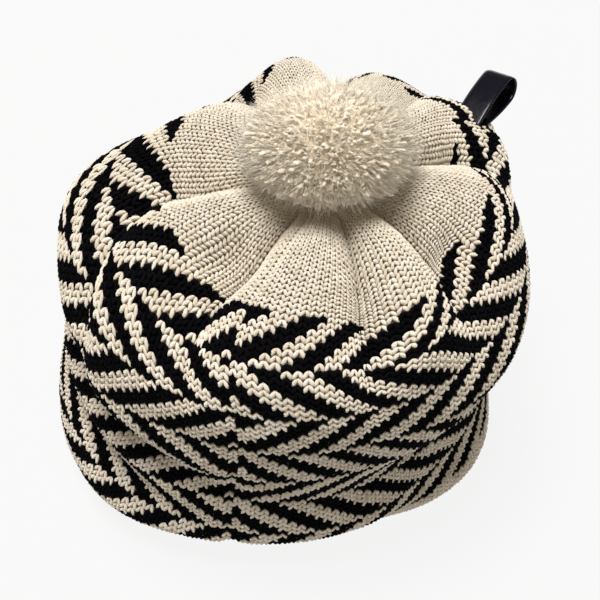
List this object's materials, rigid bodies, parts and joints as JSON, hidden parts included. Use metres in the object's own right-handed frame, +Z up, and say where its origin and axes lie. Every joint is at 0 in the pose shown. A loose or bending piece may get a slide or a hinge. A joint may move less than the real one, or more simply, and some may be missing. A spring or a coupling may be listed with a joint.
{
  "type": "knitted pompom beanie",
  "caption": "Knitted beanie standing on its rim, with a plain gathered crown, a herringbone body, a pompom and a ribbon loop.",
  "frame": {"origin": "middle of the hat's footprint, on the surface that the rim rests on", "axes": "+Z up through the crown, -Y towards the front of the hat, +X to the hat's right as seen from the front"},
  "size_m": [0.1706, 0.1488, 0.1545],
  "materials": {
    "cream_yarn": "matte cotton knit",
    "black_yarn": "matte cotton knit",
    "pompom_yarn": "fluffy cut yarn",
    "satin_ribbon": "glossy satin"
  },
  "bodies": {
    "root": {"front_panel": "cream_yarn", "back_panel": "cream_yarn", "hem_band": "cream_yarn", "gather_tie": "cream_yarn", "pompom": "pompom_yarn", "loop_label": "satin_ribbon"}
  },
  "joints": []
}
